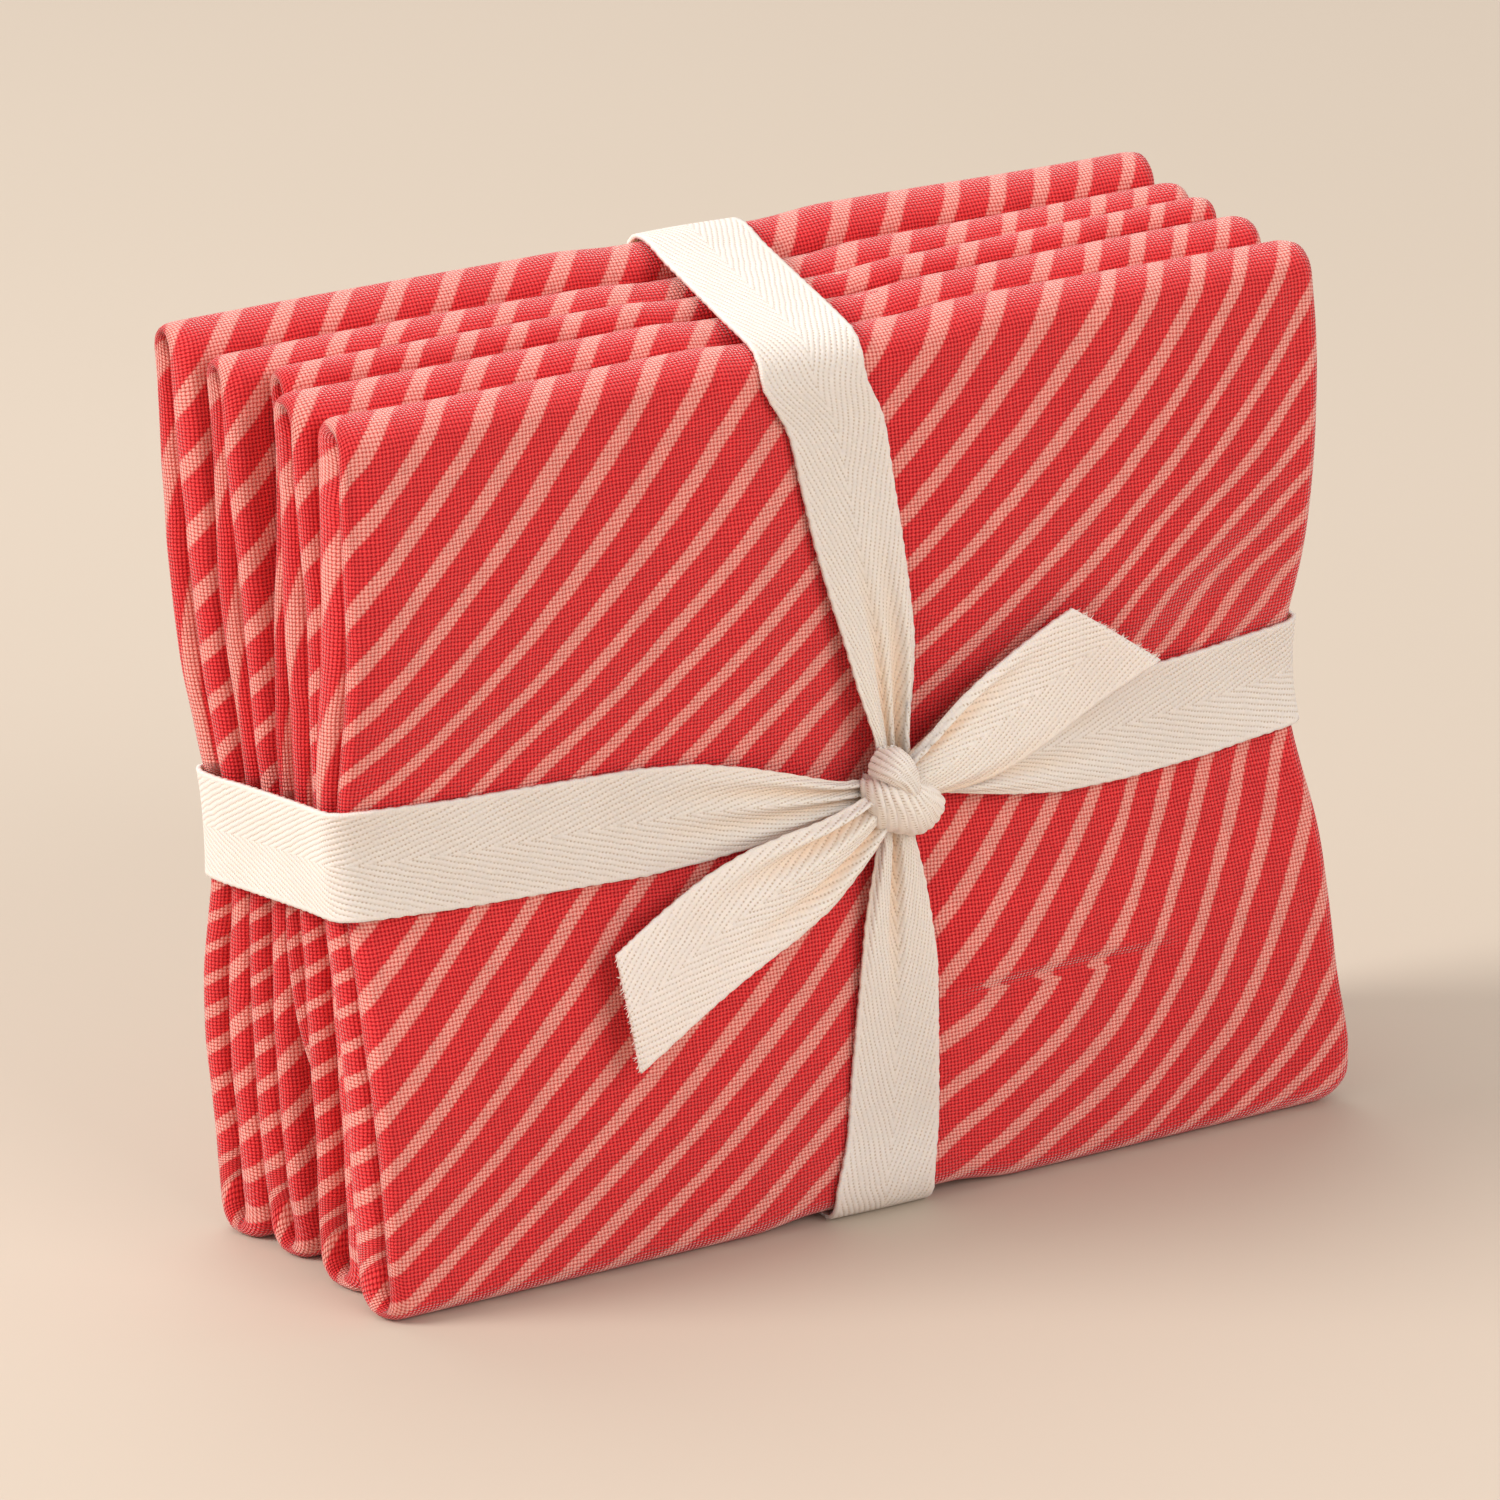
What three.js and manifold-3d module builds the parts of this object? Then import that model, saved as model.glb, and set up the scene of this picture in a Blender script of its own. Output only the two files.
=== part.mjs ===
// Stack of fabric: five folded cotton cuts standing on their long folded edge,
// tied crosswise with one flat cotton tape. Millimetres, +Z up, front towards -Y.
import * as THREE from 'three';
import { mergeVertices } from 'three/addons/utils/BufferGeometryUtils.js';
import Module from 'manifold-3d';

// Main sizes
const DEPTH = 60;
const HEIGHT = 158;
const GAP = 0.6;
const LEG_SLIT = 0.6;
const SPLIT_HEIGHT = 79;
const SPLIT_OPENING = 1;
const END_ROUND = 2.4;

// Folded cuts from front to back: depth of each, ends, top, foot, and how far
// its left end is drawn in towards the foot
const CUTS = [
  { name: 'cut_front', depth: 12.8, left: -93.5, right: 93.5, top: 157.2, foot: 0, drawn: 0 },
  { name: 'cut_second', depth: 12.0, left: -93.2, right: 91.8, top: 158.3, foot: 0, drawn: 0 },
  { name: 'cut_middle', depth: 8.2, left: -90.0, right: 90.6, top: 158.8, foot: 5, drawn: 13 },
  { name: 'cut_fourth', depth: 11.4, left: -95.0, right: 91.0, top: 159.6, foot: 0, drawn: 0 },
  { name: 'cut_back', depth: 13.2, left: -98.0, right: 90.6, top: 162.6, foot: 0, drawn: 0 },
];
// Shift of each boundary between neighbours at the foot, front to back
const FOOT_SHIFT = [0, 0.2, 2.0, -1.8, -1.6, -2.2];
const FOOT_REACH = 52;

// Rows up a leg, and columns across the outer and the inner face of a cut
const ROWS = [14, 34, 52, 67, 78.5, 79.5, 92, 107, 125, 143];
const COLUMNS = [-82, -66, -46, -26, -11, 3, 17, 33, 56, 80];
const INNER_COLUMNS = [-60, -24, 6, 36, 68];

// How the tape presses the stack
const WAIST_REACH = 26;
const WAIST_PRESS_FRONT = 4.6;
const WAIST_PRESS_BACK = 3.4;
const CORNER_PRESS = 2.6;
const TROUGH_PRESS = 1.5;
const TROUGH_REACH = 15;
const PILLOW = 1.7;
const RIGHT_PINCH = 4.2;
const LEFT_PINCH = 2.4;
const LEAN = 3.4;
const NOTCH_HEIGHT = 1.35;
const NOTCH_HALF = 13;
const NOTCH_FADE = 13;

// Tape
const TAPE_WIDTH = 19;
const TAPE_THICK = 1;
const TAPE_GAP = 0.5;
const KNOT = { x: 6, y: -36.2, z: 77 };
const KNOT_RADIUS = 9;

const ease = (t) => {
  const u = Math.min(1, Math.max(0, t));
  return u * u * (3 - 2 * u);
};
const bell = (distance, reach) => Math.exp(-((distance / reach) ** 2));
const mix = (a, b, t) => a + (b - a) * t;

// Reads a value from a table of [key, value] rows by straight lines between them
function along(table, key) {
  let i = 1;
  while (i < table.length - 1 && key > table[i][0]) i += 1;
  const [k0, v0] = table[i - 1];
  const [k1, v1] = table[i];
  return mix(v0, v1, (key - k0) / (k1 - k0));
}

// Height of the middle of the waist tape at a place in the stack
const WAIST_FRONT = [[-95, 82.5], [-30, 79.5], [6, 76.5], [40, 78.8], [95, 82]];
const WAIST_BACK = [[-100, 75], [95, 77.5]];
function waistHeight(x, y) {
  const back = Math.min(1, Math.max(0, (y + DEPTH / 2) / DEPTH));
  return mix(along(WAIST_FRONT, x), along(WAIST_BACK, x), back);
}

// Middle of the upright tape on the front and on the back, by height
const UPRIGHT_FRONT = [[0, 1.6], [12, 4.2], [45, 7], [77, 6.2], [102, 3.6], [146, -2.3], [158, -5.6]];
const UPRIGHT_BACK = [[0, 3.2], [162, 2.2]];

// Settles a point of the squared-up stack into the tied and pressed shape
function settle(point) {
  const { x, y, z } = point;
  const back = Math.min(1, Math.max(0, (y + DEPTH / 2) / DEPTH));
  const front = 1 - back;
  const waist = bell(z - waistHeight(x, y), WAIST_REACH);
  const ends = ease((-70 - x) / 25) + ease((x - 68) / 25);
  const pillow = PILLOW * Math.cos(x / 62) * Math.sin((Math.PI * Math.min(z, 158)) / 158);
  const pressFront = WAIST_PRESS_FRONT * waist + CORNER_PRESS * front * ends * waist ** 2
    + TROUGH_PRESS * bell(x - along(UPRIGHT_FRONT, z), TROUGH_REACH) * ease(z / 20) * ease((170 - z) / 30) - pillow;
  const pressBack = WAIST_PRESS_BACK * waist + 0.7 * CORNER_PRESS * back * ends * waist ** 2 - 0.6 * pillow;
  const pinchRight = RIGHT_PINCH * ease((x - 25) / 68) * bell(z - waistHeight(x, y), 30);
  const pinchLeft = LEFT_PINCH * back * ease((-30 - x) / 65) * waist;
  const tapeHere = ease((NOTCH_HALF + NOTCH_FADE - Math.abs(x - 2)) / NOTCH_FADE);
  const lift = NOTCH_HEIGHT * tapeHere * ease((24 - z) / 24);
  const dip = 0.9 * tapeHere * ease((z - 130) / 28);
  return point.set(
    x + LEAN * (0.5 - z / HEIGHT) - pinchRight + pinchLeft,
    y + front * pressFront - back * pressBack,
    z + lift - dip,
  );
}

function settleAll(geometry) {
  const position = geometry.attributes.position;
  const point = new THREE.Vector3();
  for (let i = 0; i < position.count; i += 1) {
    settle(point.fromBufferAttribute(position, i));
    position.setXYZ(i, point.x, point.y, point.z);
  }
  geometry.computeVertexNormals();
  return geometry;
}

const radians = (degrees) => (degrees * Math.PI) / 180;

// Outside of the rounded fold at the top and at the foot of a cut, by turn angle
const topFold = (cut, angle) => {
  const rise = 0.4 * cut.depth;
  return [0.5 * cut.depth * Math.cos(angle), cut.top - rise + rise * Math.sin(angle)];
};
const footFold = (cut, angle) => {
  const rise = 0.3 * cut.depth;
  return [0.5 * cut.depth * Math.cos(angle), cut.foot + rise * Math.max(0, 1.09 + 1.2 * Math.sin(angle))];
};

// Places along the folded cloth seen from its end, each with its outer and inner
// point: up the back leg, over the top fold, down the front leg, round the foot
// fold and up the back leg again to where the two cloth ends meet
function foldStations(cut) {
  const half = cut.depth / 2;
  const slit = LEG_SLIT / 2;
  const hollow = Math.min(1.6, half - 2.7);
  const stations = [];
  const leg = (side, z) => stations.push({ outer: [side * half, z], inner: [side * slit, z] });
  const above = ROWS.filter((z) => z > SPLIT_HEIGHT);
  const below = ROWS.filter((z) => z < SPLIT_HEIGHT);
  const topInside = [[0, slit, 12.4], [38, hollow, 6.8], [68, 0.8 * hollow, 4.3], [90, 0, 3.7],
    [112, -0.8 * hollow, 4.3], [142, -hollow, 6.8], [180, -slit, 12.4]];
  const footInside = [[180, -slit, 11.4], [212, -hollow, 6.6], [248, -0.8 * hollow, 4.2], [270, 0, 3.7],
    [292, 0.8 * hollow, 4.2], [328, hollow, 6.6], [360, slit, 11.4]];
  above.forEach((z) => leg(1, z));
  topInside.forEach(([turn, a, depth]) => {
    stations.push({ outer: topFold(cut, radians(turn)), inner: [a, cut.top - depth] });
  });
  [...above].reverse().forEach((z) => leg(-1, z));
  [...below].reverse().slice(1).forEach((z) => leg(-1, z));
  footInside.forEach(([turn, a, height]) => {
    stations.push({ outer: footFold(cut, radians(turn)), inner: [a, cut.foot + height] });
  });
  below.forEach((z) => leg(1, z));
  return stations;
}

// Flat section of one cloth leg: X across the cut, Y from the inner face at -1 to the
// outer face at 1, both faces a little crowned, both ends rounded
const crown = (x) => 1 - 0.03 * (x / 100) ** 2;
function legSection(cut) {
  const [left, right] = [cut.left + END_ROUND, cut.right - END_ROUND];
  const nose = [[0.3, 0.72], [0, 0], [0.3, -0.72]];
  return new THREE.Shape([
    ...[left, ...INNER_COLUMNS, right].map((x) => new THREE.Vector2(x, -crown(x))),
    ...[...nose].reverse().map(([r, t]) => new THREE.Vector2(cut.right - r * END_ROUND, t)),
    ...[right, ...[...COLUMNS].reverse(), left].map((x) => new THREE.Vector2(x, crown(x))),
    ...nose.map(([r, t]) => new THREE.Vector2(cut.left + r * END_ROUND, t)),
  ]);
}

// One folded cut between its front and back boundary
function foldedCut(cut, start, frontShift, backShift) {
  const stations = foldStations(cut);
  const steps = stations.length - 1;
  const geometry = new THREE.ExtrudeGeometry(legSection(cut), { depth: steps, steps, bevelEnabled: false });
  const position = geometry.attributes.position;
  for (let i = 0; i < position.count; i += 1) {
    const x = position.getX(i);
    const flat = Math.abs(position.getY(i)) > 0.8 ? position.getY(i) / crown(x) : position.getY(i);
    const { outer, inner } = stations[Math.round(position.getZ(i))];
    const share = 0.5 + 0.5 * flat;
    const a = mix(inner[0], outer[0], share);
    const z = mix(inner[1], outer[1], share);
    const drawn = cut.drawn * ease((92 - z) / 92) ** 1.5 * ease((-30 - x) / 62);
    const foot = Math.max(0, 1 - z / FOOT_REACH) ** 2;
    const front = start + frontShift * foot;
    const back = start + cut.depth + backShift * foot;
    position.setXYZ(i, x + drawn, mix(front, back, 0.5 + a / cut.depth), z);
  }
  return settleAll(geometry);
}

// Cross-section of the tape: width along X, thickness along Y, columns for the pleats
function tapeSection() {
  const half = TAPE_WIDTH / 2;
  const thick = TAPE_THICK / 2;
  const columns = [-1, -0.75, -0.5, -0.25, 0, 0.25, 0.5, 0.75, 1];
  const lower = columns.map((c) => new THREE.Vector2(c * half, -thick));
  const upper = [...columns].reverse().map((c) => new THREE.Vector2(c * half, thick));
  return new THREE.Shape([...lower, ...upper]);
}

// Tape laid along a table of places; each row holds the middle, the outward normal,
// the share of the full width and the height of the pleats
function tapeStrip(rows, side) {
  const steps = rows.length - 1;
  const geometry = new THREE.ExtrudeGeometry(tapeSection(), { depth: steps, steps, bevelEnabled: false });
  const position = geometry.attributes.position;
  const point = new THREE.Vector3();
  for (let i = 0; i < position.count; i += 1) {
    const w = position.getX(i);
    const t = position.getY(i);
    const row = rows[Math.round(position.getZ(i))];
    const pleat = row.pleat * Math.cos((4 * Math.PI * w) / TAPE_WIDTH);
    const slant = row.slant ? row.slant * w : 0;
    point.copy(row.middle)
      .addScaledVector(side(row), w * row.share)
      .addScaledVector(row.normal, t + pleat);
    if (slant) point.addScaledVector(row.direction, slant);
    position.setXYZ(i, point.x, point.y, point.z);
  }
  return settleAll(geometry);
}

// Width of the tape near the knot, as a share, by distance from the knot
const GATHER = [[0, 0.4], [6, 0.5], [14, 0.72], [24, 0.92], [36, 1], [400, 1]];
// Height of the pleats and lift off the cloth by the same distance
const PLEAT = [[0, 0.7], [6, 0.65], [14, 0.4], [26, 0.1], [36, 0], [400, 0]];
const LIFT = [[0, 3.4], [6, 2.6], [14, 1.4], [26, 0.5], [36, 0.2], [400, 0.2]];

const TAPE_OFF = TAPE_GAP + TAPE_THICK / 2;

// One place on a tape that lies on the stack: a point of the stack's outside, the
// outward direction there, and how far it is from the knot
function tapeRow(x, y, z, normal, fromKnot, extra = 0) {
  const far = Math.max(0, fromKnot - KNOT_RADIUS);
  const off = TAPE_OFF + extra + along(LIFT, far);
  return {
    middle: new THREE.Vector3(x, y, z).addScaledVector(normal, off),
    normal,
    share: along(GATHER, far),
    pleat: along(PLEAT, far),
  };
}

// Waist tape: from the right of the knot round the stack to the left of the knot
function waistRows() {
  const front = -DEPTH / 2;
  const back = DEPTH / 2;
  const radius = 2.2;
  const rows = [];
  const add = (x, y, nx, ny) => {
    const normal = new THREE.Vector3(nx, ny, 0).normalize();
    const fromKnot = ny < -0.99 ? Math.abs(x - KNOT.x) : 400;
    rows.push(tapeRow(x, y, waistHeight(x, y), normal, fromKnot));
  };
  const corner = (x, y, from) => [0, 30, 60, 90].forEach((turn) => {
    const angle = radians(from + turn);
    const [nx, ny] = [Math.cos(angle), Math.sin(angle)];
    add(x - radius * Math.sign(x) + radius * nx, y - radius * Math.sign(y) + radius * ny, nx, ny);
  });
  [15.1, 18.5, 23, 30, 40, 54, 68, 80].forEach((x) => add(x, front, 0, -1));
  corner(93.5, front, -90);
  [[93.5, -20], [92.7, -7], [91.9, 7], [91.1, 20]].forEach(([x, y]) => add(x, y, 1, 0.05));
  corner(90.8, back, 0);
  [80, 56, 33, 17, 3, -11, -26, -46, -66, -82].forEach((x) => add(x, back, 0, 1));
  corner(-98, back, 90);
  [[-98, 20], [-96.7, 8], [-95.3, -5], [-94, -19]].forEach(([x, y]) => add(x, y, -1, -0.1));
  corner(-93.5, front, 180);
  [-82, -66, -53, -40, -29, -20, -12.5, -7.5, -3.8].forEach((x) => add(x, front, 0, -1));
  return rows;
}

// Upright tape: from the top of the knot over the stack and under it to the foot of the knot
function uprightRows() {
  const rows = [];
  const half = DEPTH / 2;
  const [first, last] = [CUTS[0], CUTS[CUTS.length - 1]];
  const add = (x, y, z, ny, nz, extra = 0) => {
    const fromKnot = ny === -1 ? Math.abs(z - KNOT.z) : 400;
    rows.push(tapeRow(x, y, z, new THREE.Vector3(0, ny, nz).normalize(), fromKnot, extra));
  };
  const overX = (y) => mix(-6.2, 2.2, (y + half) / DEPTH);
  const underX = (y) => mix(1.6, 3.2, (y + half) / DEPTH);
  const fold = (cut, middle, shape, placeX, turns, extra = 0) => turns.forEach((turn) => {
    const [a, z] = shape(cut, radians(turn));
    const before = shape(cut, radians(turn - 4));
    const after = shape(cut, radians(turn + 4));
    const tangent = new THREE.Vector2(after[0] - before[0], after[1] - before[1]).normalize();
    add(placeX(middle + a), middle + a, z, tangent.y, -tangent.x, extra);
  });
  const frontMiddle = -half + first.depth / 2;
  const backMiddle = half - last.depth / 2;
  [86.2, 90, 96, 103, 112, 122, 133, 143].forEach((z) => add(along(UPRIGHT_FRONT, z), -half, z, -1, 0));
  fold(first, frontMiddle, topFold, overX, [178, 156, 134, 112, 92]);
  [-12, 0, 12].forEach((y) => add(overX(y), y, mix(157.2, 162.6, (y + 23.5) / 46.7), -0.11, 1));
  fold(last, backMiddle, topFold, overX, [92, 70, 48, 26, 4]);
  const crossing = (z) => 1.5 * ease((26 - Math.abs(z - 76.5)) / 11);
  [148, 134, 120, 106, 97, 89, 82, 76, 70, 63, 55, 46, 32, 18].forEach((z) => {
    add(along(UPRIGHT_BACK, z), half, z, 1, 0, crossing(z));
  });
  fold(last, backMiddle - 0.9, footFold, underX, [358, 342, 326, 308], 0.3);
  [20, 7, -7, -20].forEach((y) => add(underX(y), y, 0.35, 0, -1));
  fold(first, frontMiddle, footFold, underX, [232, 214, 198, 182], 0.3);
  [15, 26, 36, 45, 53, 59, 63.4, 67].forEach((z) => add(along(UPRIGHT_FRONT, z), -half, z, -1, 0));
  return rows;
}

// Free ends of the tape: middle line from the knot outwards, height off the cloth,
// share of the full width, pleat
const UPPER_TAIL = [
  [12.4, 81.7, 7.2, 0.4, 0.7], [16.6, 84.2, 7.0, 0.52, 0.65], [20.5, 86, 6.5, 0.7, 0.45], [26, 88.6, 5.6, 0.9, 0.2],
  [33, 91.6, 4.8, 1, 0], [41, 95, 4.8, 1, 0], [48.6, 98, 5.2, 1, 0],
];
const LOWER_TAIL = [
  [-0.8, 73.4, 7.0, 0.4, 0.7], [-6.6, 70.2, 6.8, 0.55, 0.6], [-12, 67, 6.2, 0.75, 0.4], [-19, 63, 5.4, 0.93, 0.15],
  [-27, 58.6, 5.2, 1, 0], [-36, 53.4, 5.6, 1, 0], [-46.6, 47.6, 6.6, 1, 0],
];
function tailRows(table, slant) {
  const last = table.length - 1;
  return table.map(([x, z, off, share, pleat], i) => {
    const a = table[Math.max(0, i - 1)];
    const b = table[Math.min(last, i + 1)];
    return {
      middle: new THREE.Vector3(x, -DEPTH / 2 - off, z),
      normal: new THREE.Vector3(0, -1, 0),
      direction: new THREE.Vector3(b[0] - a[0], 0, b[1] - a[1]).normalize(),
      share,
      pleat,
      slant: i === last ? slant : 0,
    };
  });
}

// Knot: the crossing wraps as rounded lobes joined into one body
const LOBES = [
  { at: [0.4, 0, -0.5], size: [6.4, 5.2, 6.6], turn: 0 },
  { at: [-0.6, -1.4, 1.4], size: [4.4, 4.6, 8.4], turn: 28 },
  { at: [4.0, -0.4, -2.0], size: [4.2, 4.0, 5.4], turn: -52 },
  { at: [-3.2, -0.2, 4.6], size: [4.2, 3.6, 4.8], turn: 40 },
];
const wasm = await Module();
wasm.setup();
const { Manifold, Mesh } = wasm;

function lobeSolid(lobe) {
  const geometry = new THREE.SphereGeometry(1, 14, 9);
  geometry.scale(...lobe.size);
  geometry.rotateY(radians(lobe.turn));
  geometry.translate(KNOT.x + lobe.at[0], KNOT.y + lobe.at[1], KNOT.z + lobe.at[2]);
  geometry.deleteAttribute('normal');
  geometry.deleteAttribute('uv');
  const merged = mergeVertices(geometry, 1e-4);
  return new Manifold(new Mesh({
    numProp: 3,
    vertProperties: new Float32Array(merged.attributes.position.array),
    triVerts: new Uint32Array(merged.index.array),
  }));
}

function knotGeometry() {
  const mesh = Manifold.union(LOBES.map(lobeSolid)).getMesh();
  const geometry = new THREE.BufferGeometry();
  geometry.setAttribute('position', new THREE.BufferAttribute(new Float32Array(mesh.vertProperties), 3));
  geometry.setIndex(new THREE.BufferAttribute(new Uint32Array(mesh.triVerts), 1));
  return settleAll(geometry);
}

// Assembly
const group = new THREE.Group();
group.name = 'stack_of_fabric';
function addPiece(name, geometry, colour, roughness) {
  const material = new THREE.MeshStandardMaterial({ color: colour, roughness, metalness: 0 });
  const mesh = new THREE.Mesh(geometry, material);
  mesh.name = name;
  group.add(mesh);
}

const CLOTH_COLOUR = 0xd8433f;
const TAPE_COLOUR = 0xefe6d8;
let start = -DEPTH / 2;
CUTS.forEach((cut, i) => {
  addPiece(cut.name, foldedCut(cut, start, FOOT_SHIFT[i], FOOT_SHIFT[i + 1]), CLOTH_COLOUR, 0.9);
  start += cut.depth + GAP;
});
addPiece('waist_tape', tapeStrip(waistRows(), () => new THREE.Vector3(0, 0, 1)), TAPE_COLOUR, 0.85);
addPiece('upright_tape', tapeStrip(uprightRows(), () => new THREE.Vector3(-1, 0, 0)), TAPE_COLOUR, 0.85);
const tailSide = (row) => new THREE.Vector3().crossVectors(row.normal, row.direction);
addPiece('upper_tail', tapeStrip(tailRows(UPPER_TAIL, -0.42), tailSide), TAPE_COLOUR, 0.85);
addPiece('lower_tail', tapeStrip(tailRows(LOWER_TAIL, 0.38), tailSide), TAPE_COLOUR, 0.85);
addPiece('knot', knotGeometry(), TAPE_COLOUR, 0.85);

// Origin in the middle of the underside
const box = new THREE.Box3().setFromObject(group);
group.position.set(-0.5 * (box.min.x + box.max.x), -0.5 * (box.min.y + box.max.y), -box.min.z);
group.updateMatrixWorld(true);

export default group;
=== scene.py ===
"""Stack of five folded cuts of striped cotton, tied with herringbone cotton tape."""

import math
import random
from collections import namedtuple

import bmesh
import bpy
import numpy as np
from mathutils import Matrix, Vector


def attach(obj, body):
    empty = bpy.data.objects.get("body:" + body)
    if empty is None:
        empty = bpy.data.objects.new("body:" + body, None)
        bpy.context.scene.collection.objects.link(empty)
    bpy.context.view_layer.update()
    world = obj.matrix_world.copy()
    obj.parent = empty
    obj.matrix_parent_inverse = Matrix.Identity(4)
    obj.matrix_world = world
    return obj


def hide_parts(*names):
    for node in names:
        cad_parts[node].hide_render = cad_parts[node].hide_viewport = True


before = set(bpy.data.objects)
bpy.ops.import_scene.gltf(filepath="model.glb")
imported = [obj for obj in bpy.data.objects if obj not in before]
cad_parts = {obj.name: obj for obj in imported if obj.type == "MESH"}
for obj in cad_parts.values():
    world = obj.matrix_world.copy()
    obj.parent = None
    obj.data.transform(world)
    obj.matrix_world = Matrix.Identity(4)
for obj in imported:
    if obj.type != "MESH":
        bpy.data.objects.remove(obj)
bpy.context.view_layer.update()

# Sizes are in millimetres up to the mesh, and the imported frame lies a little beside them
MM = 0.001
FRAME_SHIFT = np.array([2.3013, 2.8105, 0.0])

DEPTH = 60.0
HEIGHT = 158.0
GAP = 0.6
CLOTH_FLAT = (0.559, 0.457)
CLOTH_THICK = 0.38
# Middle height of the front leg, from which the flat cloth is measured
SPLIT = 79.0
# Half the slit between the two legs, and how far it stops below the crest and above the foot
SLIT = 0.3
SLIT_TOP = 7.8
SLIT_LOW = 10.2
# Cloth round each rounded end, how far the end stands out, and where it starts
NOSE = 9.2
NOSE_REACH = 3.1
NOSE_START = 3.5
# Heights between which a leg is straight
LEG_TOP = 143.5
LEG_LOW = 14.6
# Rise of the crest and of the foot, as a share of the depth
CREST_RISE = 0.4
FOOT_RISE = 0.3
STRIPE_PITCH = 9.9
THREAD_PITCH = 0.67

# Drawn is how far the left of the foot is drawn in, pulled is how far the left end comes in
# at the top, phase shifts the print, and seam is the line between the legs by height
Cut = namedtuple("Cut", "name depth left right top foot drawn phase pulled seam")
CUTS = [
    Cut("cut_front", 12.8, -93.5, 93.5, 157.2, 0.0, 0.0, 2.4, 3.2,
        [(0, -2.6), (60, -0.8), (110, -1.6), (158, -2.4)]),
    Cut("cut_second", 12.0, -93.2, 91.8, 158.3, 0.0, 0.0, 7.1, 1.4, [(0, 1.2), (60, 0.2), (158, -0.4)]),
    Cut("cut_middle", 8.2, -92.4, 90.6, 159.4, 5.0, 11.0, 4.6, 4.4, [(0, -0.3), (158, 0.3)]),
    Cut("cut_fourth", 11.4, -95.0, 91.0, 159.8, 0.0, 0.0, 1.2, 1.0, [(0, -0.5), (70, 0.3), (158, 0.6)]),
    Cut("cut_back", 13.2, -98.0, 90.6, 162.8, 0.0, 0.0, 5.8, 1.0, [(0, 0.4), (80, 0.2), (158, 1.6)]),
]
# Shift in depth of each face between the cuts at the floor, and the height where it ends
FOOT_SHIFT = [0.0, 0.2, 2.0, -1.8, -1.6, -2.2]
FOOT_REACH = 52.0

# Middle line of each tape run: height by x for the waist, x by height for the upright run
WAIST_FRONT = [(-95, 80.9), (-60, 80.0), (-30, 79.0), (6, 76.5), (40, 77.5), (95, 80.2)]
WAIST_BACK = [(-100, 75), (95, 77.5)]
UPRIGHT_FRONT = [
    (0, 0.2), (12, 2.4), (45, 5.4), (62, 6.2), (77, 6.6), (102, 5.0), (122, 2.0), (146, -1.4), (158, -3.8),
]
UPRIGHT_BACK = [(0, 3.2), (162, 2.2)]

TAPE_WIDTH = 19.0
TAPE_THICK = 0.75
TAPE_OFF = 0.86
HALF_TAPE = TAPE_WIDTH * MM / 2
RIB_PITCH = 1.02
RIB_SLOPE = 0.33
KNOT_X, KNOT_Z = 6.0, 77.0
KNOT_RADIUS = 9.0
# Distance from the knot, then the value there: share of the width, pleat, height off the cloth
FAR = 400
GATHER = [(0, 0.26), (5, 0.4), (12, 0.62), (22, 0.86), (34, 1), (FAR, 1)]
GATHER_UPRIGHT = [
    (0, 0.34), (5, 0.46), (12, 0.62), (22, 0.76), (36, 0.86), (60, 0.95), (80, 1), (FAR, 1),
]
PLEAT = [(0, 1.0), (6, 0.95), (14, 0.7), (24, 0.32), (38, 0), (FAR, 0)]
LIFT = [(0, 3.2), (6, 2.6), (14, 1.5), (26, 0.6), (36, 0.2), (FAR, 0.2)]

# Bends of the tied stack, as depth and reach
WAIST_PRESS_FRONT, WAIST_PRESS_BACK, WAIST_REACH = 4.6, 3.4, 26
END_PRESS, END_PRESS_BACK = 2.6, 0.7
PILLOW, PILLOW_BACK, PILLOW_REACH = 1.7, 0.6, 62
TROUGH, TROUGH_REACH = 1.5, 15
PINCH_RIGHT, PINCH_RIGHT_REACH, PINCH_LEFT = 4.2, 30, 2.4
FOOT_LIFT, CREST_DIP = 1.35, 0.9
LEAN = 3.4


def ease(t):
    u = min(1.0, max(0.0, t))
    return u * u * (3 - 2 * u)


def bell(distance, reach):
    return math.exp(-((distance / reach) ** 2))


def mix(a, b, t):
    return a + (b - a) * t


def bracket(table, key):
    """The values of the rows before and after key, and how far key is between them."""
    i = 1
    while i < len(table) - 1 and key > table[i][0]:
        i += 1
    (k0, v0), (k1, v1) = table[i - 1], table[i]
    return v0, v1, (key - k0) / (k1 - k0)


def along(table, key):
    return mix(*bracket(table, key))


def soft_along(table, key):
    """Reads a table with rounded steps between its rows."""
    before, after, t = bracket(table, key)
    return mix(before, after, ease(t))


def unit(vector):
    return vector / np.linalg.norm(vector)


def hermite(t):
    """Shares of two places and their two slopes in a smooth line between them."""
    return 2 * t**3 - 3 * t**2 + 1, t**3 - 2 * t**2 + t, -2 * t**3 + 3 * t**2, t**3 - t**2


def share_back(y):
    return min(1.0, max(0.0, (y + DEPTH / 2) / DEPTH))


def waist_height(x, y):
    return mix(along(WAIST_FRONT, x), along(WAIST_BACK, x), share_back(y))


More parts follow.
